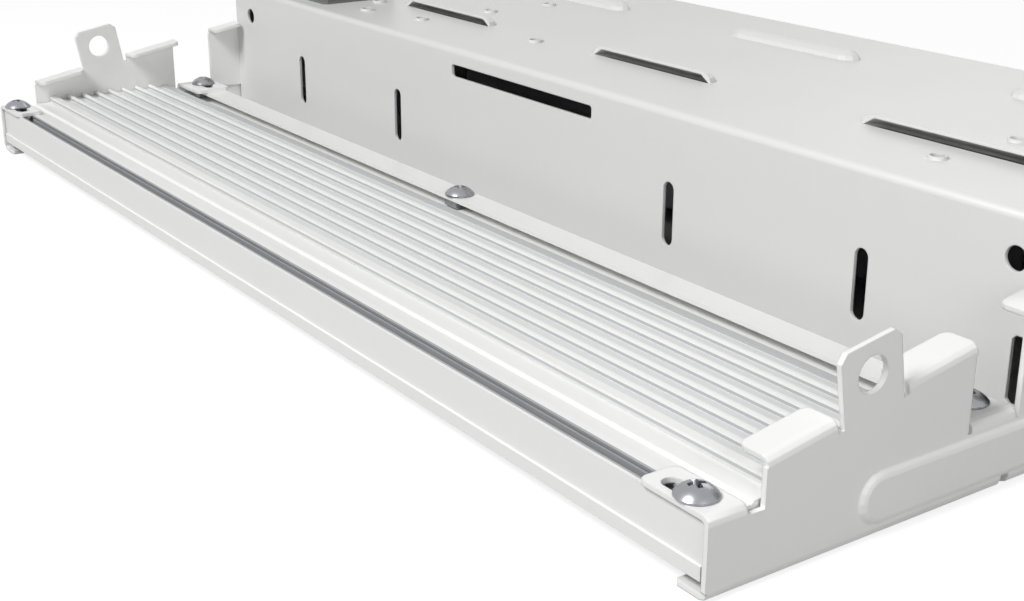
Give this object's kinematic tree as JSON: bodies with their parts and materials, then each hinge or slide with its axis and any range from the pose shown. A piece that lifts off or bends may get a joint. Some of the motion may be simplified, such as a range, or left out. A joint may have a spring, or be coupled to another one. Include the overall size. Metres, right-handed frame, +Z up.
{
  "type": "linear LED high bay light",
  "caption": "Linear high bay light: finned white LED modules on each side of a louvred gear box, held by folded end plates with hanging ears.",
  "frame": {"origin": "centre of the footprint, on the plane of the underside of the end plates' folded lips", "axes": "+Z up, away from the light side; +X along the light towards the end with the lead openings; -Y is the side the picture looks at"},
  "size_m": [0.6072, 0.4856, 0.1116],
  "materials": {
    "plate_white": "satin white powder coat",
    "sink_white": "satin white powder coat on extruded aluminium",
    "box_white": "satin white powder coat",
    "lens_opal": "opal polycarbonate",
    "board_white": "white solder mask on aluminium-cored board",
    "phosphor": "yellow phosphor over a white package",
    "grommet_rubber": "matt",
    "driver_black": "black anodised case",
    "mains_grey": "fine matt moulded grey",
    "gland_black": "black moulded nylon",
    "terminal_ivory": "moulded ivory",
    "earth_brass": "plain",
    "screw_zinc": "bright zinc plate"
  },
  "bodies": {
    "root": {"cable_gland": "gland_black", "channel_screws": "screw_zinc", "driver_front": "driver_black", "driver_rear": "driver_black", "driver_screws": "screw_zinc", "earth_nut": "earth_brass", "earth_stud": "earth_brass", "end_plate_left": "plate_white", "end_plate_right": "plate_white", "gear_box": "box_white", "gear_tray": "box_white", "gland_locknut": "gland_black", "gland_nut": "gland_black", "heat_sink_front": "sink_white", "heat_sink_rear": "sink_white", "lead_grommet_front": "grommet_rubber", "lead_grommet_rear": "grommet_rubber", "led_board_left_front": "board_white", "led_board_left_rear": "board_white", "led_board_right_front": "board_white", "led_board_right_rear": "board_white", "led_chips_front": "phosphor", "led_chips_rear": "phosphor", "lens_front": "lens_opal", "lens_rear": "lens_opal", "mains_box": "mains_grey", "mains_lid": "mains_grey", "mains_screws": "screw_zinc", "middle_screws": "screw_zinc", "plate_nuts": "screw_zinc", "plate_screws": "screw_zinc", "rail_nuts": "screw_zinc", "rail_screws": "screw_zinc", "terminal_block": "terminal_ivory", "terminal_screws": "screw_zinc", "tray_nuts": "screw_zinc", "tray_screws": "screw_zinc"}
  },
  "joints": []
}
